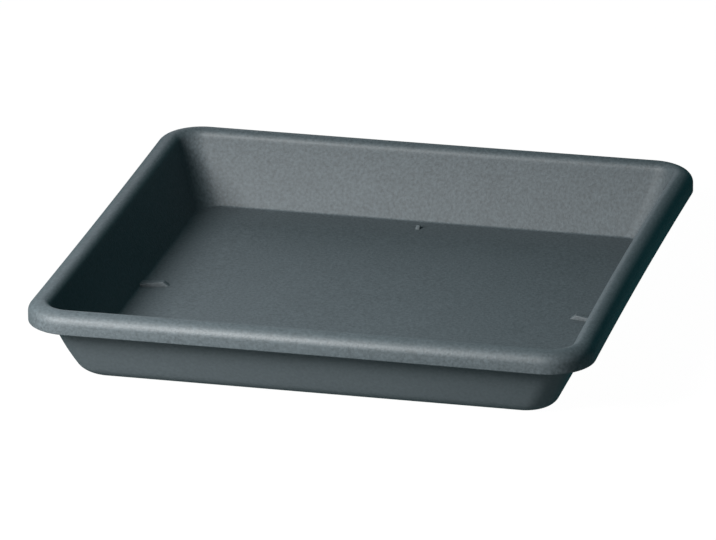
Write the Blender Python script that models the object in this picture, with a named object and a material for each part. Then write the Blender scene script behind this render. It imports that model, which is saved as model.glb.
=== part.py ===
"""Square plant saucer, moulded in one piece.

The saucer is a shallow square well with flared walls and a rolled rim that is open underneath. It stands
on a foot ring round its edge, and its floor carries four low spacers that keep a pot off the walls.

The shell follows one section, drawn as half size (distance from the centre to a side) against height.
Each point of the section is a rounded square, and the edge of the flat floor is extruded from one square to
the next until it closes under the floor.

Units are metres. +Z is up, the front side is at -Y, and the origin is the centre of the foot's plane.
"""

from math import asin, cos, pi, radians, sin, sqrt, tan
from typing import NamedTuple

import bmesh
import bpy
from mathutils import Matrix, Vector

# Overall
SIDE = 0.380
HEIGHT = 0.055
WALL = 0.0026

# Rolled rim: a flattened roll outside, a round one inside, and a straight lip hanging from it
OUTER_ROLL_REACH = 0.0091
OUTER_ROLL_DROP = 0.0075
INNER_ROLL_RADIUS = 0.0062
LIP_DROP = 0.0139
LIP_EDGE_RADIUS = 0.0007

# Well: its walls curve evenly from the lesser draft under the rim to the greater one at the floor
TOP_DRAFT = radians(13.3)
FLOOR_DRAFT = radians(27.1)
WELL_TOP_CORNER = 0.0158
WELL_FLOOR_CORNER = 0.0162
FLOOR_THICKNESS = 0.0026
FLOOR_FILLET = 0.002
FLOOR_BORDER = 0.003

# Foot ring under the edge of the floor
FOOT_HEIGHT = 0.003
FOOT_WIDTH = 0.004
FOOT_CORNER = 0.013
FOOT_SIDE_DRAFT = radians(12)
BASE_ROUNDING = 0.0147

# Pot spacers on the floor, one at the middle of each side: narrow and high at the inner end, wide and low
# where they meet the wall
SPACER_LENGTH = 0.019
SPACER_TIP_WIDTH = 0.0035
SPACER_WALL_WIDTH = 0.008
SPACER_TIP_HEIGHT = 0.0026
SPACER_WALL_HEIGHT = 0.0014
SPACER_SIDE_DRAFT = radians(20)
SPACER_END_DRAFT = radians(46)
SPACER_SINK = 0.0006

# Facets
CORNER_SEGMENTS = 9
OUTER_ROLL_SEGMENTS = 8
INNER_ROLL_SEGMENTS = 5
UNDER_ROLL_SEGMENTS = 4
LIP_EDGE_SEGMENTS = 2
FILLET_SEGMENTS = 3
WALL_SEGMENTS = 4
ROUNDING_SEGMENTS = 7
SMALLEST_RADIUS = 0.0002
SHARP_ANGLE = radians(28)

# Anthracite polypropylene
PLASTIC_COLOUR = (0.089, 0.109, 0.120, 1.0)
PLASTIC_ROUGHNESS = 0.5
PLASTIC_METALLIC = 0.0

# Sizes that follow from those above
FLOOR_TOP = FOOT_HEIGHT + FLOOR_THICKNESS
CREST = SIDE / 2 - OUTER_ROLL_REACH
INNER_ROLL_CENTRE = HEIGHT - INNER_ROLL_RADIUS
WELL_TOP = CREST - INNER_ROLL_RADIUS * cos(TOP_DRAFT)
WELL_TOP_HEIGHT = INNER_ROLL_CENTRE + INNER_ROLL_RADIUS * sin(TOP_DRAFT)
WALL_CURVE = (WELL_TOP_HEIGHT - FLOOR_TOP) / (sin(FLOOR_DRAFT) - sin(TOP_DRAFT))
WALL_CENTRE = (WELL_TOP - WALL_CURVE * cos(TOP_DRAFT), WELL_TOP_HEIGHT + WALL_CURVE * sin(TOP_DRAFT))


class Level(NamedTuple):
    """One rounded square of the shell."""

    half: float
    height: float
    corner: float


def inner_wall(height):
    """Half size of the well at a height on its curved wall."""
    half, centre_height = WALL_CENTRE
    return half + sqrt(WALL_CURVE**2 - (centre_height - height) ** 2)


def round_into_wall(curve, radius, height):
    """Centre of a small arc that runs into a wall of this curve, and the draft at which it meets the wall."""
    reach = curve - radius
    drop = WALL_CENTRE[1] - height
    centre = (WALL_CENTRE[0] + sqrt(reach**2 - drop**2), height)
    return centre, asin(drop / reach)


def well_corner(height):
    """Plan radius of the well's corners, which changes evenly from the floor to the rim."""
    share = (height - FLOOR_TOP) / (WELL_TOP_HEIGHT - FLOOR_TOP)
    return WELL_FLOOR_CORNER + (WELL_TOP_CORNER - WELL_FLOOR_CORNER) * share


def rim_corner(half):
    """Plan radius on the rim, whose corners are concentric with the top of the well."""
    return WELL_TOP_CORNER + half - WELL_TOP


def arc(centre, radii, start, end, segments):
    """Points (half size, height) along an ellipse's arc, both ends included."""
    angles = [start + (end - start) * step / segments for step in range(segments + 1)]
    return [(centre[0] + radii[0] * cos(angle), centre[1] + radii[1] * sin(angle)) for angle in angles]


def well_levels():
    """From a flat border on the floor, through the fillet, up the curved wall to the rim."""
    centre, draft = round_into_wall(WALL_CURVE, FLOOR_FILLET, FLOOR_TOP + FLOOR_FILLET)
    fillet = arc(centre, (FLOOR_FILLET, FLOOR_FILLET), -pi / 2, -draft, FILLET_SEGMENTS)
    wall = arc(WALL_CENTRE, (WALL_CURVE, WALL_CURVE), -draft, -TOP_DRAFT, WALL_SEGMENTS)
    wall_foot, wall_foot_height = wall[0]
    corner = well_corner(wall_foot_height)
    border = (fillet[0][0] - FLOOR_BORDER, FLOOR_TOP)
    levels = [Level(half, height, corner - (wall_foot - half)) for half, height in [border] + fillet]
    return levels + [Level(half, height, well_corner(height)) for half, height in wall[1:]]


def rim_levels():
    """Over the rim: inner roll, crest, outer roll, lip face and the lip's rounded lower edge."""
    radii = (INNER_ROLL_RADIUS, INNER_ROLL_RADIUS)
    inner = arc((CREST, INNER_ROLL_CENTRE), radii, pi - TOP_DRAFT, pi / 2, INNER_ROLL_SEGMENTS)
    centre = (CREST, HEIGHT - OUTER_ROLL_DROP)
    radii = (OUTER_ROLL_REACH, OUTER_ROLL_DROP)
    outer = arc(centre, radii, pi / 2, 0, OUTER_ROLL_SEGMENTS)
    radii = (LIP_EDGE_RADIUS, LIP_EDGE_RADIUS)
    edge_height = HEIGHT - LIP_DROP + LIP_EDGE_RADIUS
    face_edge = (SIDE / 2 - LIP_EDGE_RADIUS, edge_height)
    back_edge = (SIDE / 2 - WALL + LIP_EDGE_RADIUS, edge_height)
    lip = arc(face_edge, radii, 0, -pi / 2, LIP_EDGE_SEGMENTS)
    lip += arc(back_edge, radii, -pi / 2, -pi, LIP_EDGE_SEGMENTS)
    return [Level(half, height, rim_corner(half)) for half, height in inner[1:] + outer[1:] + lip]


def channel_levels():
    """Up inside the lip, across under the crest and down to the outside of the wall."""
    centre = (CREST, HEIGHT - OUTER_ROLL_DROP)
    radii = (OUTER_ROLL_REACH - WALL, OUTER_ROLL_DROP - WALL)
    outer = arc(centre, radii, 0, pi / 2, UNDER_ROLL_SEGMENTS)
    radius = max(INNER_ROLL_RADIUS - WALL, SMALLEST_RADIUS)
    centre = (CREST, INNER_ROLL_CENTRE)
    inner = arc(centre, (radius, radius), pi / 2, pi - TOP_DRAFT, UNDER_ROLL_SEGMENTS)
    return [Level(half, height, rim_corner(half)) for half, height in outer + inner[1:]]


def base_levels():
    """Down the outside of the wall, round the bottom edge to the foot ring, and up to the recess."""
    curve = WALL_CURVE + WALL
    centre, draft = round_into_wall(curve, BASE_ROUNDING, BASE_ROUNDING)
    wall = arc(WALL_CENTRE, (curve, curve), -TOP_DRAFT, -draft, WALL_SEGMENTS)
    bend = arc(centre, (BASE_ROUNDING, BASE_ROUNDING), -draft, -pi / 2, ROUNDING_SEGMENTS)
    levels = [Level(half, height, well_corner(height) + WALL) for half, height in wall[1:]]
    bend_top, bend_height = bend[0]
    foot = bend[-1][0]
    corner = well_corner(bend_height) + WALL
    for half, height in bend[1:]:
        share = (bend_top - half) / (bend_top - foot)
        levels.append(Level(half, height, corner + (FOOT_CORNER - corner) * share))
    foot_back = foot - FOOT_WIDTH
    recess = foot_back - FOOT_HEIGHT * tan(FOOT_SIDE_DRAFT)
    back_corner = max(FOOT_CORNER - FOOT_WIDTH, SMALLEST_RADIUS)
    return levels + [Level(foot_back, 0, back_corner), Level(recess, FOOT_HEIGHT, back_corner)]


def ring_point(place, level):
    """Where a vertex lies on a level's rounded square, by its place in the ring, counted from the right side."""
    quarter, step = divmod(place, CORNER_SEGMENTS + 1)
    angle = step / CORNER_SEGMENTS * pi / 2
    centre = level.half - level.corner
    point = Vector((centre + level.corner * cos(angle), centre + level.corner * sin(angle), level.height))
    return Matrix.Rotation(quarter * pi / 2, 3, "Z") @ point


def extrude_ring(mesh, edges, places, level):
    """Extrudes a ring of edges to the next level and returns its new edges."""
    grown = bmesh.ops.extrude_edge_only(mesh, edges=edges)["geom"]
    for vert in (element for element in grown if isinstance(element, bmesh.types.BMVert)):
        vert.co = ring_point(vert[places], level)
    return [element for element in grown if isinstance(element, bmesh.types.BMEdge)]


def build_shell():
    """Extrudes the outline of the floor through every level into one closed shell."""
    mesh = bmesh.new()
    places = mesh.verts.layers.int.new("place")
    levels = well_levels() + rim_levels() + channel_levels() + base_levels()
    ring = []
    for place in range(4 * (CORNER_SEGMENTS + 1)):
        vert = mesh.verts.new(ring_point(place, levels[0]))
        vert[places] = place
        ring.append(vert)
    floor = mesh.faces.new(ring)
    edges = list(floor.edges)
    for level in levels[1:]:
        edges = extrude_ring(mesh, edges, places, level)
    bmesh.ops.edgeloop_fill(mesh, edges=edges)
    bmesh.ops.recalc_face_normals(mesh, faces=mesh.faces)
    return mesh


def build_spacer():
    """A low wedge on the floor at +X, drafted on its sides and inner end and let into the floor and wall."""
    mesh = bmesh.new()
    bmesh.ops.create_cube(mesh, size=2)
    tip = inner_wall(FLOOR_TOP) - SPACER_LENGTH
    widening = (SPACER_WALL_WIDTH - SPACER_TIP_WIDTH) / SPACER_LENGTH
    for vert in mesh.verts:
        at_wall = vert.co.x > 0
        on_top = vert.co.z > 0
        top = SPACER_WALL_HEIGHT if at_wall else SPACER_TIP_HEIGHT
        above_floor = top if on_top else -SPACER_SINK
        wall_end = inner_wall(FLOOR_TOP + above_floor) + SPACER_SINK
        inner_end = tip + above_floor * tan(SPACER_END_DRAFT)
        x = wall_end if at_wall else inner_end
        half_width = (SPACER_TIP_WIDTH + widening * (x - tip)) / 2 - above_floor * tan(SPACER_SIDE_DRAFT)
        vert.co = (x, vert.co.y * half_width, FLOOR_TOP + above_floor)
    return mesh


def add_object(name, mesh):
    """Links a finished bmesh to the scene as an object of that name."""
    data = bpy.data.meshes.new(name)
    mesh.to_mesh(data)
    mesh.free()
    solid = bpy.data.objects.new(name, data)
    bpy.context.scene.collection.objects.link(solid)
    return solid


def plastic():
    """Matte anthracite polypropylene."""
    material = bpy.data.materials.new("anthracite_polypropylene")
    material.use_nodes = True
    shader = material.node_tree.nodes["Principled BSDF"]
    shader.inputs["Base Color"].default_value = PLASTIC_COLOUR
    shader.inputs["Roughness"].default_value = PLASTIC_ROUGHNESS
    shader.inputs["Metallic"].default_value = PLASTIC_METALLIC
    return material


def main():
    """Clears the scene, then models the shell and joins the four spacers to its floor."""
    for existing in list(bpy.data.objects):
        bpy.data.objects.remove(existing)

    saucer = add_object("saucer", build_shell())
    saucer.data.materials.append(plastic())
    saucer.data.shade_smooth()
    saucer.data.set_sharp_from_angle(angle=SHARP_ANGLE)

    for quarter, side in enumerate(("right", "back", "left", "front")):
        spacer = add_object(f"spacer_{side}", build_spacer())
        spacer.rotation_euler.z = quarter * pi / 2
        spacer.hide_render = True
        spacer.display_type = "WIRE"
        join = saucer.modifiers.new(f"join_{spacer.name}", "BOOLEAN")
        join.operation = "UNION"
        join.solver = "EXACT"
        join.object = spacer


main()
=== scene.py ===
"""Looks of a square plant saucer, moulded in one piece of matte anthracite plastic.

The saucer replaces the plain solid of the frame with a finer mesh of the same section, and gets the fine
moulded grain of such plastic. Units are metres, +Z is up, and the front side is at -Y.
"""

import logging
from dataclasses import dataclass, field
from enum import Enum
from math import asin, cos, pi, radians, sin, sqrt, tan
from typing import Any, NamedTuple

import bmesh
import bpy
from mathutils import Matrix, Vector


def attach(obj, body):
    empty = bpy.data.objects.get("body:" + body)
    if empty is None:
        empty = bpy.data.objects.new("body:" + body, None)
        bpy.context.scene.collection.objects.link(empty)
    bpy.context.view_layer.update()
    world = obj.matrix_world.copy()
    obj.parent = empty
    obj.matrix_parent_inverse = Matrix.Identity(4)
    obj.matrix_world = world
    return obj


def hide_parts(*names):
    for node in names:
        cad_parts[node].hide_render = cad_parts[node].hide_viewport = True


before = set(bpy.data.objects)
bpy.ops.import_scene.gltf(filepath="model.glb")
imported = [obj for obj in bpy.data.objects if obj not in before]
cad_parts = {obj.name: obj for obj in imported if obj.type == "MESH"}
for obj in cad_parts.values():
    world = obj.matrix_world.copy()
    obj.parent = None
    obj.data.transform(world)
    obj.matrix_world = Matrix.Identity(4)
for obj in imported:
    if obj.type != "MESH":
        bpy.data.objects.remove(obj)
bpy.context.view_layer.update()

log = logging.getLogger("saucer")

ROOT_BODY = "root"
SAUCER_NODE = "saucer"
IMAGE_WIDTH = 716

# The rounded square that every level of the shell repeats
OUTLINE_HALF = 1.0
OUTLINE_CORNER = 0.5

# Places of the colour sockets on a Mix node
MIX_FIRST = 6
MIX_SECOND = 7
MIX_RESULT = 2

NOISE_MEAN = 0.5
WHITE = (1.0, 1.0, 1.0, 1.0)

Point = tuple[float, float]
Colour = tuple[float, float, float]


class Side(Enum):
    """A side of the square, numbered in quarter turns from +X."""

    RIGHT = 0
    BACK = 1
    LEFT = 2
    FRONT = 3

    def turn(self) -> Matrix:
        """The rotation that carries the right side onto this one."""
        return Matrix.Rotation(self.value * pi / 2, 4, "Z")


class Level(NamedTuple):
    """One rounded square of the shell, by its half size, height and corner radius."""

    half: float
    height: float
    corner: float


def arc(centre: Point, radii: Point, start: float, end: float, segments: int) -> list[Point]:
    """Points along an arc of an ellipse in the section.

    Args:
        centre: Centre of the ellipse, as half size and height.
        radii: Its two radii.
        start: Angle of the first point.
        end: Angle of the last point.
        segments: Number of steps between them.

    Returns:
        The points, both ends included.
    """
    angles = [start + (end - start) * step / segments for step in range(segments + 1)]
    return [(centre[0] + radii[0] * cos(angle), centre[1] + radii[1] * sin(angle)) for angle in angles]


@dataclass(frozen=True)
class Rim:
    """The rolled rim, open underneath: a round roll inside, a flattened one outside, and a hanging lip."""

    side: float = 0.380
    top: float = 0.055
    wall: float = 0.0026
    outer_reach: float = 0.0091
    outer_drop: float = 0.0075
    inner_radius: float = 0.0062
    lip_drop: float = 0.0139
    lip_edge_radius: float = 0.0007
    draft: float = radians(13.3)
    well_corner: float = 0.0158
    inner_segments: int = 14
    outer_segments: int = 22
    under_segments: int = 10
    edge_segments: int = 4

    @property
    def crest(self) -> float:
        """Half size of the rim's highest line."""
        return self.side / 2 - self.outer_reach

    @property
    def inner_centre(self) -> Point:
        """Centre of the inner roll."""
        return self.crest, self.top - self.inner_radius

    @property
    def outer_centre(self) -> Point:
        """Centre of the flattened outer roll."""
        return self.crest, self.top - self.outer_drop

    @property
    def well_top(self) -> Point:
        """Where the inner roll runs into the well's wall."""
        centre, height = self.inner_centre
        return centre - self.inner_radius * cos(self.draft), height + self.inner_radius * sin(self.draft)

    def corner(self, half: float) -> float:
        """Plan radius of the rim's corners, which are concentric with the top of the well."""
        return self.well_corner + half - self.well_top[0]

    def face_levels(self) -> list[Level]:
        """Lists the levels of the rim from above.

        Returns:
            The levels over the inner roll, the crest, the outer roll, the lip's face and its lower edge.
        """
        radii = (self.inner_radius, self.inner_radius)
        inner = arc(self.inner_centre, radii, pi - self.draft, pi / 2, self.inner_segments)
        radii = (self.outer_reach, self.outer_drop)
        outer = arc(self.outer_centre, radii, pi / 2, 0, self.outer_segments)
        radii = (self.lip_edge_radius, self.lip_edge_radius)
        edge_height = self.top - self.lip_drop + self.lip_edge_radius
        face_edge = (self.side / 2 - self.lip_edge_radius, edge_height)
        back_edge = (self.side / 2 - self.wall + self.lip_edge_radius, edge_height)
        lip = arc(face_edge, radii, 0, -pi / 2, self.edge_segments)
        lip += arc(back_edge, radii, -pi / 2, -pi, self.edge_segments)
        return [Level(half, height, self.corner(half)) for half, height in inner[1:] + outer[1:] + lip]

    def channel_levels(self) -> list[Level]:
        """Lists the levels of the channel under the rim.

        Returns:
            The levels up inside the lip, across under the crest and down to the outside of the wall.
        """
        radii = (self.outer_reach - self.wall, self.outer_drop - self.wall)
        outer = arc(self.outer_centre, radii, 0, pi / 2, self.under_segments)
        radius = self.inner_radius - self.wall
        inner = arc(self.inner_centre, (radius, radius), pi / 2, pi - self.draft, self.under_segments)
        return [Level(half, height, self.corner(half)) for half, height in outer + inner[1:]]


@dataclass(frozen=True)
class Body:
    """The well's floor and curved walls, and the foot ring under their edge."""

    rim: Rim = field(default_factory=Rim)
    floor_draft: float = radians(27.1)
    floor_corner: float = 0.0162
    floor_thickness: float = 0.0026
    floor_fillet: float = 0.002
    floor_border: float = 0.003
    crown: float = 0.0035
    crown_start: float = 0.05
    crown_squareness: float = 1.5
    crown_segments: int = 12
    foot_height: float = 0.003
    foot_width: float = 0.004
    foot_corner: float = 0.013
    foot_side_draft: float = radians(12)
    foot_edge_radius: float = 0.0004
    base_rounding: float = 0.0147
    wall_segments: int = 22
    fillet_segments: int = 7
    rounding_segments: int = 16
    foot_segments: int = 3

    @property
    def floor_top(self) -> float:
        """Height of the floor's upper face."""
        return self.foot_height + self.floor_thickness

    @property
    def curve(self) -> float:
        """Radius of the wall's section, which leans more the nearer it comes to the floor."""
        rise = self.rim.well_top[1] - self.floor_top
        return rise / (sin(self.floor_draft) - sin(self.rim.draft))

    @property
    def curve_centre(self) -> Point:
        """Centre of the wall's section."""
        half, height = self.rim.well_top
        return half - self.curve * cos(self.rim.draft), height + self.curve * sin(self.rim.draft)

    def inner_wall(self, height: float) -> float:
        """Half size of the well at a height on its wall."""
        centre, centre_height = self.curve_centre
        return centre + sqrt(self.curve**2 - (centre_height - height) ** 2)

    def corner(self, height: float) -> float:
        """Plan radius of the well's corners at a height."""
        share = (height - self.floor_top) / (self.rim.well_top[1] - self.floor_top)
        return self.floor_corner + (self.rim.well_corner - self.floor_corner) * share

    def round_into_wall(self, curve: float, radius: float, height: float) -> tuple[Point, float]:
        """Fits a small arc that runs smoothly into the wall.

        Args:
            curve: Radius of the wall's section.
            radius: Radius of the small arc.
            height: Height of its centre.

        Returns:
            The centre of the arc, and the draft at which it meets the wall.
        """
        reach = curve - radius
        drop = self.curve_centre[1] - height
        return (self.curve_centre[0] + sqrt(reach**2 - drop**2), height), asin(drop / reach)

    def crown_levels(self, border: Level) -> list[Level]:
        """Lists the levels of the floor's shallow crown, round at its top and square towards the border.

        Args:
            border: The level at which the crown ends.

        Returns:
            The levels from the top of the crown outwards, without the border.
        """
        core = border.half - border.corner
        levels = []
        for step in range(self.crown_segments):
            share = self.crown_start + (1 - self.crown_start) * step / self.crown_segments
            half = border.half * share
            height = border.height + self.crown * (1 - share**2)
            levels.append(Level(half, height, half - core * share**self.crown_squareness))
        return levels

    def well_levels(self) -> list[Level]:
        """Lists the levels of the well.

        Returns:
            The levels over the crown and the flat border of the floor, through the fillet and up the wall.
        """
        radius = self.floor_fillet
        centre, draft = self.round_into_wall(self.curve, radius, self.floor_top + radius)
        fillet = arc(centre, (radius, radius), -pi / 2, -draft, self.fillet_segments)
        curve = (self.curve, self.curve)
        wall = arc(self.curve_centre, curve, -draft, -self.rim.draft, self.wall_segments)
        foot, foot_height = wall[0]
        corner = self.corner(foot_height)
        border = (fillet[0][0] - self.floor_border, self.floor_top)
        levels = [Level(half, height, corner - (foot - half)) for half, height in [border] + fillet]
        levels = self.crown_levels(levels[0]) + levels
        return levels + [Level(half, height, self.corner(height)) for half, height in wall[1:]]

    def base_levels(self) -> list[Level]:
        """Lists the levels of the outside.

        Returns:
            The levels down the wall, round its lower edge, over the foot ring and into the recess.
        """
        curve = self.curve + self.rim.wall
        radius = self.base_rounding
        centre, draft = self.round_into_wall(curve, radius, radius)
        wall = arc(self.curve_centre, (curve, curve), -self.rim.draft, -draft, self.wall_segments)
        bend = arc(centre, (radius, radius), -draft, -pi / 2, self.rounding_segments)
        levels = [Level(half, height, self.corner(height) + self.rim.wall) for half, height in wall[1:]]
        top, top_height = bend[0]
        foot = bend[-1][0]
        corner = self.corner(top_height) + self.rim.wall
        for half, height in bend[1:]:
            share = (top - half) / (top - foot)
            levels.append(Level(half, height, corner + (self.foot_corner - corner) * share))
        return levels + self.foot_levels(foot)

    def foot_levels(self, foot: float) -> list[Level]:
        """Lists the levels over the foot ring's inner edge and up its side to the recess.

        Args:
            foot: Half size at the outer edge of the flat on which the saucer rests.

        Returns:
            The levels, the last of them in the middle of the underside, which is crowned like the floor.
        """
        radius = self.foot_edge_radius
        draft = self.foot_side_draft
        back = foot - self.foot_width
        turn = radius * tan((pi / 2 - draft) / 2)
        edge = arc((back + turn, radius), (radius, radius), -pi / 2, draft - pi, self.foot_segments)
        recess = back - self.foot_height * tan(draft)
        root = arc((recess - turn, self.foot_height - radius), (radius, radius), draft, pi / 2,
                   self.foot_segments)
        corner = self.foot_corner - self.foot_width
        last = (root[-1][0] - self.floor_border, self.foot_height)
        levels = [Level(half, height, corner + half - back) for half, height in edge + root + [last]]
        return levels + self.crown_levels(levels[-1])[::-1]


@dataclass(frozen=True)
class Spacer:
    """A low wedge on the floor that keeps a pot off the wall: narrow and high at its inner end."""

    body: Body = field(default_factory=Body)
    length: float = 0.0202
    run: float = 0.0202
    tip_width: float = 0.0035
    wall_width: float = 0.008
    tip_height: float = 0.0036
    wall_height: float = 0.0015
    side_draft: float = radians(2)
    end_draft: float = radians(52)
    sink: float = 0.0009
    edge_radius: float = 0.0004
    edge_segments: int = 3

    def place(self, vert: bmesh.types.BMVert) -> None:
        """Moves a vertex of a cube to its place on the wedge at +X.

        Args:
            vert: The vertex, whose signs tell which corner of the wedge it becomes.
        """
        at_wall = vert.co.x > 0
        top = self.wall_height if at_wall else self.tip_height
        above_floor = top if vert.co.z > 0 else -self.sink
        floor = self.body.floor_top
        tip = self.body.inner_wall(floor) - self.length
        wall_end = self.body.inner_wall(floor + above_floor) + self.sink - (self.length - self.run)
        x = wall_end if at_wall else tip + above_floor * tan(self.end_draft)
        width = self.tip_width + (self.wall_width - self.tip_width) * (x - tip) / self.run
        vert.co = (x, vert.co.y * (width / 2 - above_floor * tan(self.side_draft)), floor + above_floor)

    def build(self, side: Side) -> bpy.types.Object:
        """Models the wedge of one side.

        Args:
            side: The side at whose middle it lies.

        Returns:
            The wedge as an object, to be joined to the shell.
        """
        mesh = bmesh.new()
        bmesh.ops.create_cube(mesh, size=2)
        for vert in mesh.verts:
            self.place(vert)
        middle = self.body.floor_top
        upper = [edge for edge in mesh.edges if all(vert.co.z > middle for vert in edge.verts)]
        upright = [edge for edge in mesh.edges
                   if edge not in upper and any(vert.co.z > middle for vert in edge.verts)]
        bmesh.ops.bevel(mesh, geom=upper + upright, offset=self.edge_radius, offset_type="OFFSET",
                        affect="EDGES", segments=self.edge_segments, profile=0.5, material=-1)
        bmesh.ops.recalc_face_normals(mesh, faces=mesh.faces)
        mesh.transform(side.turn())
        return add_object(f"spacer_{side.name.lower()}", mesh)


@dataclass(frozen=True)
class SideBow:
    """How far the middle of each side has pulled in at the rim as the moulding cooled."""

    right: float = 0.0016
    back: float = 0.0005
    left: float = 0.0008
    front: float = 0.0012

    def move(self, core: Vector, outward: Vector, share: float) -> Vector:
        """Works out how far a point of the shell moves.

        Args:
            core: Where the point lies along its sides, from -1 to 1 on each axis.
            outward: Unit vector that points away from the centre of its corner or side.
            share: How much of the bow this level has, from 0 at the floor to 1 at the rim.

        Returns:
            The movement in plan.
        """
        across = self.right if outward.x > 0 else self.left
        along = self.back if outward.y > 0 else self.front
        across = -outward.x * across * (1 - core.y**2)
        along = -outward.y * along * (1 - core.x**2)
        return Vector((across, along, 0)) * share


@dataclass(frozen=True)
class Saucer:
    """The whole saucer: one shell with its spacers, in the place of the frame's plain solid."""

    rim: Rim = field(default_factory=Rim)
    body: Body = field(default_factory=Body)
    spacer: Spacer = field(default_factory=Spacer)
    back_spacer: Spacer = field(default_factory=lambda: Spacer(
        length=0.0172, run=0.0065, tip_width=0.003, wall_width=0.003, tip_height=0.0031,
        wall_height=-0.0002, end_draft=radians(40), sink=0.0012))
    bow: SideBow = field(default_factory=SideBow)
    corner_segments: int = 22
    side_cuts: int = 17
    sharp_angle: float = radians(32)

    def levels(self) -> list[Level]:
        """All the levels of the shell, from the middle of the floor round to the underside."""
        levels = self.body.well_levels() + self.rim.face_levels()
        return levels + self.rim.channel_levels() + self.body.base_levels()

    def outline(self) -> bmesh.types.BMesh:
        """Makes the rounded square that every level repeats.

        Returns:
            A bmesh of one face, whose vertices keep their plan place in the layer "plan".
        """
        mesh = bmesh.new()
        bmesh.ops.create_grid(mesh, x_segments=1, y_segments=1, size=OUTLINE_HALF)
        bmesh.ops.bevel(mesh, geom=list(mesh.verts), offset=OUTLINE_CORNER, offset_type="OFFSET",
                        affect="VERTICES", segments=self.corner_segments, profile=0.5, material=-1)
        straight = [edge for edge in mesh.edges if edge.calc_length() > OUTLINE_CORNER]
        bmesh.ops.subdivide_edges(mesh, edges=straight, cuts=self.side_cuts)
        plan = mesh.verts.layers.float_vector.new("plan")
        for vert in mesh.verts:
            vert[plan] = vert.co
        return mesh

    def on_level(self, plan: Vector, level: Level) -> Vector:
        """Finds where a vertex lies on a level.

        Args:
            plan: Its place on the outline.
            level: The rounded square of this level.

        Returns:
            Its place on the shell, the bow of the sides included.
        """
        straight = OUTLINE_HALF - OUTLINE_CORNER
        core = Vector([max(-straight, min(straight, part)) for part in plan])
        outward = (plan - core) / OUTLINE_CORNER
        core = core / straight
        core.z = outward.z = 0
        point = core * (level.half - level.corner) + outward * level.corner
        rise = (level.height - self.body.floor_top) / (self.rim.top - self.body.floor_top)
        point += self.bow.move(core, outward, max(0.0, rise))
        point.z = level.height
        return point

    def build_shell(self) -> bmesh.types.BMesh:
        """Extrudes the outline through every level.

        Returns:
            One closed shell.
        """
        mesh = self.outline()
        plan = mesh.verts.layers.float_vector["plan"]
        levels = self.levels()
        for vert in mesh.verts:
            vert.co = self.on_level(vert[plan], levels[0])
        edges = list(mesh.edges)
        for level in levels[1:]:
            grown = bmesh.ops.extrude_edge_only(mesh, edges=edges)["geom"]
            for vert in (item for item in grown if isinstance(item, bmesh.types.BMVert)):
                vert.co = self.on_level(vert[plan], level)
            edges = [item for item in grown if isinstance(item, bmesh.types.BMEdge)]
        bmesh.ops.edgeloop_fill(mesh, edges=edges)
        bmesh.ops.recalc_face_normals(mesh, faces=mesh.faces)
        return mesh

    def build(self) -> bpy.types.Object:
        """Models the shell, joins the four spacers to its floor and shades it smooth.

        Returns:
            The finished saucer, without its material.
        """
        saucer = add_object("moulded_saucer", self.build_shell())
        kinds = {side: self.back_spacer if side is Side.BACK else self.spacer for side in Side}
        spacers = [spacer.build(side) for side, spacer in kinds.items()]
        for spacer in spacers:
            join = saucer.modifiers.new(f"join_{spacer.name}", "BOOLEAN")
            join.operation = "UNION"
            join.solver = "EXACT"
            join.object = spacer
        apply_modifiers(saucer)
        for spacer in spacers:
            bpy.data.objects.remove(spacer)
        saucer.data.shade_smooth()
        saucer.data.set_sharp_from_angle(angle=self.sharp_angle)
        return saucer

    def dress(self, saucer: bpy.types.Object, material: bpy.types.Material) -> None:
        """Gives the saucer its material and puts it in the place of the frame's solid.

        Args:
            saucer: The finished saucer.
            material: Its plastic.
        """
        saucer.data.materials.clear()
        saucer.data.materials.append(material)
        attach(saucer, ROOT_BODY)
        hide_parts(SAUCER_NODE)


def add_object(name: str, mesh: bmesh.types.BMesh) -> bpy.types.Object:
    """Links a finished bmesh to the scene.

    Args:
        name: Name of the object and of its mesh.
        mesh: The bmesh, which is freed.

    Returns:
        The object.
    """
    data = bpy.data.meshes.new(name)
    mesh.to_mesh(data)
    mesh.free()
    made = bpy.data.objects.new(name, data)
    bpy.context.scene.collection.objects.link(made)
    return made


def apply_modifiers(made: bpy.types.Object) -> None:
    """Puts the result of an object's modifiers into its mesh.

    Args:
        made: The object, which keeps its name and loses its modifiers.
    """
    graph = bpy.context.evaluated_depsgraph_get()
    result = bpy.data.meshes.new_from_object(made.evaluated_get(graph))
    made.modifiers.clear()
    made.data = result
    result.name = made.name


def report(piece: bpy.types.Object) -> None:
    """Logs the name, faces and size of a piece."""
    size = " x ".join(f"{length * 1000:.1f}" for length in piece.dimensions)
    log.info("%s: %d faces, %s mm", piece.name, len(piece.data.polygons), size)


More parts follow.
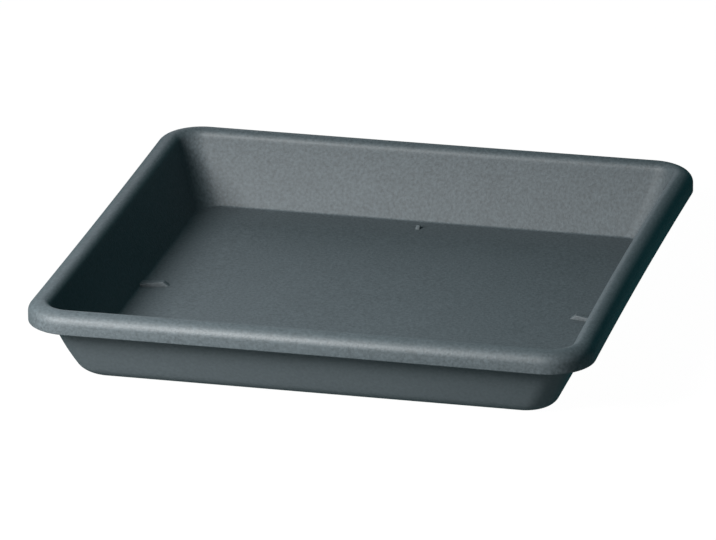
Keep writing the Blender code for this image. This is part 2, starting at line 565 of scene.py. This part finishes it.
class Value:
    """A socket whose value varies over the surface. Arithmetic on it adds Math nodes."""

    def __init__(self, nodes: "Nodes", socket: bpy.types.NodeSocket) -> None:
        """Wraps a socket of a material or of the world."""
        self.nodes = nodes
        self.socket = socket

    def math(self, operation: str, *inputs: Any, clamp: bool = False) -> "Value":
        """Adds a Math node.

        Args:
            operation: The node's operation.
            inputs: Its inputs in order, numbers or values.
            clamp: Whether the result is kept from 0 to 1.

        Returns:
            The result.
        """
        settings = {"operation": operation, "use_clamp": clamp}
        return self.nodes.add("ShaderNodeMath", settings, dict(enumerate(inputs)))

    def __add__(self, other: Any) -> "Value":
        """Adds."""
        return self.math("ADD", self, other)

    def __radd__(self, other: Any) -> "Value":
        """Adds, from the right."""
        return self.math("ADD", other, self)

    def __sub__(self, other: Any) -> "Value":
        """Subtracts."""
        return self.math("SUBTRACT", self, other)

    def __rsub__(self, other: Any) -> "Value":
        """Subtracts from a number."""
        return self.math("SUBTRACT", other, self)

    def __mul__(self, other: Any) -> "Value":
        """Multiplies."""
        return self.math("MULTIPLY", self, other)

    def __rmul__(self, other: Any) -> "Value":
        """Multiplies, from the right."""
        return self.math("MULTIPLY", other, self)

    def __abs__(self) -> "Value":
        """Takes the distance from 0."""
        return self.math("ABSOLUTE", self)

    def root(self) -> "Value":
        """Takes the square root."""
        return self.math("SQRT", self)

    def larger(self, other: Any) -> "Value":
        """Takes the larger of two."""
        return self.math("MAXIMUM", self, other)

    def smaller(self, other: Any) -> "Value":
        """Takes the smaller of two."""
        return self.math("MINIMUM", self, other)

    def between(self, low: float, high: float) -> "Value":
        """Stretches low to 0 and high to 1, and keeps the result in that range."""
        return self.math("MULTIPLY", self - low, 1 / (high - low), clamp=True)


class Nodes:
    """Builds the nodes of one material or world."""

    def __init__(self, tree: bpy.types.NodeTree) -> None:
        """Starts with an empty tree."""
        tree.nodes.clear()
        self.tree = tree

    def add(self, kind: str, settings: dict[str, Any], inputs: dict[Any, Any], output: Any = 0) -> Value:
        """Adds a node, sets it, and then fills its sockets.

        Args:
            kind: The node's type.
            settings: Its properties.
            inputs: A number, colour or value for each socket, by name or place.
            output: Name or place of the output that is wanted.

        Returns:
            That output.
        """
        node = self.tree.nodes.new(kind)
        for name, setting in settings.items():
            setattr(node, name, setting)
        for name, content in inputs.items():
            if isinstance(content, Value):
                self.tree.links.new(content.socket, node.inputs[name])
            else:
                node.inputs[name].default_value = content
        return Value(self, node.outputs[output] if len(node.outputs) else node.inputs[0])

    def mix(self, factor: Any, first: Any, second: Any) -> Value:
        """Mixes two colours."""
        inputs = {"Factor": factor, MIX_FIRST: first, MIX_SECOND: second}
        return self.add("ShaderNodeMix", {"data_type": "RGBA"}, inputs, MIX_RESULT)

    def ray(self, kind: str) -> Value:
        """Tells the rays of one kind: 1 for them, and 0 for all others."""
        return self.add("ShaderNodeLightPath", {}, {}, kind)

    def noise(self, where: Value, size: float, detail: float, roughness: float = 0.5) -> Value:
        """Adds noise whose blobs are about this size across.

        Args:
            where: Coordinates.
            size: Size of a blob in metres.
            detail: Octaves on top of the first.
            roughness: How strong each octave is against the one before.

        Returns:
            The noise, about 0.5 on average.
        """
        inputs = {"Vector": where, "Scale": 1 / size, "Detail": detail, "Roughness": roughness}
        return self.add("ShaderNodeTexNoise", {"noise_dimensions": "3D"}, inputs, "Fac")


def new_material(name: str) -> tuple[bpy.types.Material, Nodes]:
    """Makes a material whose nodes are still to be built.

    Args:
        name: Its name.

    Returns:
        The material, and the builder of its nodes.
    """
    material = bpy.data.materials.new(name)
    material.use_nodes = True
    return material, Nodes(material.node_tree)


@dataclass(frozen=True)
class MouldedPlastic:
    """Anthracite polypropylene with the fine grain of an etched mould and a satin sheen."""

    body: Body = field(default_factory=Body)
    colour: Colour = (0.0577, 0.0709, 0.0781)
    shade_spread: float = 0.66
    mottle_size: float = 0.03
    mottle_detail: float = 3.0
    mottle_share: float = 0.12
    grain_size: float = 0.0020
    grain_detail: float = 1.0
    grain_octave: float = 0.6
    grain_share: float = 0.7
    fine_size: float = 0.0010
    fine_detail: float = 1.0
    relief_depth: float = 0.00020
    roughness: float = 0.685
    roughness_spread: float = 0.05
    specular: float = 0.71
    edge_roughness: float = 0.56
    edge_corner: float = 0.0233
    edge_from: float = 0.0095
    edge_full: float = 0.0060
    crest_from: float = 0.0490
    crest_full: float = 0.0515
    crest_share: float = 0.6
    corner_loss: float = 0.9
    outside_loss: float = 0.62
    outside_from: float = 0.0009
    outside_full: float = 0.0003
    lowest_full: float = 0.0018
    lip_blur: float = 0.0006
    rim_loss: float = 0.2

    def tint(self, factor: float) -> tuple[float, float, float, float]:
        """The plastic's colour made lighter or darker."""
        return (*(min(1.0, part * factor) for part in self.colour), 1.0)

    @staticmethod
    def reach(x: Value, y: Value, straight: Any) -> Value:
        """Measures how far a point lies beyond the straight part of the sides, round the corners.

        Args:
            x: Distance from the middle towards the sides.
            y: Distance from the middle towards the front and back.
            straight: Distance from the middle to the centre of a corner.

        Returns:
            The distance.
        """
        past_x, past_y = ((part - straight).larger(0.0) for part in (x, y))
        return (past_x * past_x + past_y * past_y).root()

    def outside(self, x: Value, y: Value, z: Value) -> Value:
        """Finds the outer face of the wall and its lower edge, where the mould is smoother.

        Args:
            x: Distance from the middle towards the sides.
            y: Distance from the middle towards the front and back.
            z: Height.

        Returns:
            1 on that face, and 0 in the well and on the rim.
        """
        rim = self.body.rim
        centre, centre_height = self.body.curve_centre
        middle = self.body.curve + rim.wall / 2
        corner = self.body.floor_corner + rim.wall / 2
        drop = centre_height - z
        straight = (middle**2 - drop * drop).root() + (centre - corner)
        reach = self.reach(x, y, straight)
        beyond = reach.between(corner - self.outside_from, corner - self.outside_full)
        lowest = z.between(self.body.foot_height, self.lowest_full)
        lip = rim.top - rim.lip_drop
        return beyond.larger(lowest) * z.between(lip + self.lip_blur, lip - self.lip_blur)

    def handled(self, x: Value, y: Value, z: Value) -> Value:
        """Finds the rim, which handling has rubbed a little smoother, most of all on its outer edge.

        Args:
            x: Distance from the middle towards the sides.
            y: Distance from the middle towards the front and back.
            z: Height.

        Returns:
            1 on the outer edge, less on the inner roll, and 0 in the well.
        """
        straight = self.body.rim.side / 2 - self.edge_corner
        reach = self.reach(x, y, straight)
        along = x.smaller(y) * (1 / straight)
        edge = reach.between(self.edge_corner - self.edge_from, self.edge_corner - self.edge_full)
        edge = edge * (1 - along * along * self.corner_loss)
        crest = z.between(self.crest_from, self.crest_full) * self.crest_share
        return edge.larger(crest)

    def build(self) -> bpy.types.Material:
        """Makes the material.

        Returns:
            A material that reads Object coordinates, in metres.
        """
        material, nodes = new_material("anthracite_polypropylene")
        where = nodes.add("ShaderNodeTexCoord", {}, {}, "Object")
        mottle = nodes.noise(where, self.mottle_size, self.mottle_detail)
        grain = nodes.noise(where, self.grain_size, self.grain_detail, self.grain_octave)
        fine = nodes.noise(where, self.fine_size, self.fine_detail)
        x, y, z = (nodes.add("ShaderNodeSeparateXYZ", {}, {"Vector": where}, axis) for axis in "XYZ")
        x, y = abs(x), abs(y)
        handled = self.handled(x, y, z)
        outside = self.outside(x, y, z)
        strength = 1 - (handled * self.rim_loss).larger(outside * self.outside_loss)
        shade = mottle * self.mottle_share + grain * (1 - self.mottle_share)
        shade = (shade - NOISE_MEAN) * strength + NOISE_MEAN
        base = nodes.mix(shade, self.tint(1 - self.shade_spread), self.tint(1 + self.shade_spread))
        rough = self.roughness + handled * (self.edge_roughness - self.roughness)
        rough = rough + (fine - NOISE_MEAN) * self.roughness_spread
        relief = grain * self.grain_share + fine * (1 - self.grain_share)
        relief = (relief - NOISE_MEAN) * strength
        inputs = {"Strength": 1.0, "Distance": self.relief_depth, "Height": relief}
        bump = nodes.add("ShaderNodeBump", {}, inputs)
        inputs = {"Base Color": base, "Roughness": rough, "Normal": bump,
                  "Specular IOR Level": self.specular}
        shader = nodes.add("ShaderNodeBsdfPrincipled", {}, inputs)
        nodes.add("ShaderNodeOutputMaterial", {}, {"Surface": shader})
        return material


@dataclass(frozen=True)
class Surround:
    """The white that the camera sees round the object. Reflections see it dim and blue-green."""

    white: float = 1.0
    reflected: Colour = (0.03, 0.155, 0.169)

    def seen(self, nodes: Nodes) -> Value:
        """Tells the rays that meet the surround.

        Args:
            nodes: The nodes of the floor or of the world.

        Returns:
            1 for camera, glossy and transmission rays, and 0 for all others.
        """
        glossy = nodes.ray("Is Glossy Ray").larger(nodes.ray("Is Transmission Ray"))
        return nodes.ray("Is Camera Ray").larger(glossy)

    def colour(self, nodes: Nodes) -> Value:
        """The surround's colour: white, or the dim one where a glossy ray looks."""
        return nodes.mix(nodes.ray("Is Glossy Ray"), WHITE, (*self.reflected, 1))


@dataclass(frozen=True)
class StudioFloor:
    """A plain pale floor that the camera sees as white, apart from the object's faint shadow."""

    half: float = 6.0
    colour: Colour = (0.36, 0.36, 0.36)
    surround: Surround = field(default_factory=lambda: Surround(white=1.1))
    share_of_white: float = 0.9

    def material(self) -> bpy.types.Material:
        """Makes the floor's material.

        Returns:
            A material that takes shadows and light, and looks nearly white to the camera.
        """
        material, nodes = new_material("pale_floor")
        plain = nodes.add("ShaderNodeBsdfDiffuse", {}, {"Color": (*self.colour, 1)})
        inputs = {"Color": self.surround.colour(nodes), "Strength": self.surround.white}
        glow = nodes.add("ShaderNodeEmission", {}, inputs)
        share = self.surround.seen(nodes) * self.share_of_white
        shader = nodes.add("ShaderNodeMixShader", {}, {0: share, 1: plain, 2: glow})
        nodes.add("ShaderNodeOutputMaterial", {}, {"Surface": shader})
        return material

    def build(self) -> bpy.types.Object:
        """Lays the floor at the height on which the saucer stands.

        Returns:
            The floor.
        """
        mesh = bmesh.new()
        bmesh.ops.create_grid(mesh, x_segments=1, y_segments=1, size=self.half)
        floor = add_object("floor", mesh)
        floor.data.materials.append(self.material())
        return floor


def direction(azimuth: float, elevation: float) -> Vector:
    """Finds the direction from the middle of the scene to a lamp or the camera.

    Args:
        azimuth: Angle from the front towards the right.
        elevation: Angle above the floor.

    Returns:
        A vector of length 1.
    """
    level = cos(elevation)
    return Vector((sin(azimuth) * level, -cos(azimuth) * level, sin(elevation)))


@dataclass(frozen=True)
class SoftLamp:
    """A softbox that points at the middle of the saucer."""

    name: str
    azimuth: float
    elevation: float
    distance: float
    width: float
    height: float
    power: float
    colour: Colour = (1.0, 1.0, 1.0)

    def build(self) -> bpy.types.Object:
        """Hangs the lamp.

        Returns:
            The lamp, which the camera doesn't see.
        """
        data = bpy.data.lights.new(self.name, "AREA")
        data.shape = "ELLIPSE"
        data.size = self.width
        data.size_y = self.height
        data.energy = self.power
        data.color = self.colour
        lamp = bpy.data.objects.new(self.name, data)
        towards = direction(self.azimuth, self.elevation)
        lamp.location = towards * self.distance
        lamp.rotation_euler = towards.to_track_quat("Z", "Y").to_euler()
        lamp.visible_camera = False
        bpy.context.scene.collection.objects.link(lamp)
        return lamp


@dataclass(frozen=True)
class StudioSky:
    """A dim blue-green fill light from all round, which the camera sees as white."""

    strength: float = 0.042
    colour: Colour = (0.0, 0.70, 1.0)
    surround: Surround = field(default_factory=Surround)

    def build(self) -> None:
        """Gives the scene its world."""
        world = bpy.data.worlds.new("studio")
        bpy.context.scene.world = world
        world.use_nodes = True
        nodes = Nodes(world.node_tree)
        inputs = {"Color": (*self.colour, 1), "Strength": self.strength}
        fill = nodes.add("ShaderNodeBackground", {}, inputs)
        inputs = {"Color": self.surround.colour(nodes), "Strength": self.surround.white}
        white = nodes.add("ShaderNodeBackground", {}, inputs)
        shader = nodes.add("ShaderNodeMixShader", {}, {0: self.surround.seen(nodes), 1: fill, 2: white})
        nodes.add("ShaderNodeOutputWorld", {}, {"Surface": shader})


@dataclass(frozen=True)
class PhotoCamera:
    """A long lens that sees the saucer from the front, a little from the right and above."""

    azimuth: float = radians(14.020)
    elevation: float = radians(20.932)
    roll: float = radians(-0.548)
    distance: float = 4.7612
    aim_right: float = -0.00723
    aim_up: float = 0.02715
    focal_pixels: float = 7065.2
    sensor: float = 36.0
    far: float = 100.0

    def build(self) -> bpy.types.Object:
        """Makes the camera and gives it to the scene.

        Returns:
            The camera.
        """
        data = bpy.data.cameras.new("photo_camera")
        data.sensor_width = self.sensor
        data.lens = self.focal_pixels / IMAGE_WIDTH * self.sensor
        data.clip_end = self.far
        camera = bpy.data.objects.new("photo_camera", data)
        back = direction(self.azimuth, self.elevation)
        level_right = Vector((0, 0, 1)).cross(back).normalized()
        level_up = back.cross(level_right)
        right = level_right * cos(self.roll) + level_up * sin(self.roll)
        up = level_up * cos(self.roll) - level_right * sin(self.roll)
        turn = Matrix((right, up, back)).transposed().to_4x4()
        place = right * self.aim_right + up * self.aim_up + back * self.distance
        camera.matrix_world = Matrix.Translation(place) @ turn
        bpy.context.scene.collection.objects.link(camera)
        bpy.context.scene.camera = camera
        return camera


LAMPS = (
    SoftLamp("key", azimuth=radians(-32), elevation=radians(30.5), distance=1.06, width=0.38, height=0.41,
             power=21.0),
    SoftLamp("rear", azimuth=radians(-156), elevation=radians(22.5), distance=1.4, width=0.62, height=0.62,
             power=1.76, colour=(0.92, 0.92, 1.0)),
)


def main() -> None:
    """Builds the scene in order and reports the saucer."""
    logging.basicConfig(level=logging.INFO, format="%(name)s: %(message)s")
    PhotoCamera().build()
    saucer = Saucer()
    piece = saucer.build()
    saucer.dress(piece, MouldedPlastic().build())
    report(piece)
    StudioFloor().build()
    for lamp in LAMPS:
        lamp.build()
    StudioSky().build()
    bpy.context.scene.view_settings.view_transform = "Standard"


if __name__ == "__main__":
    main()
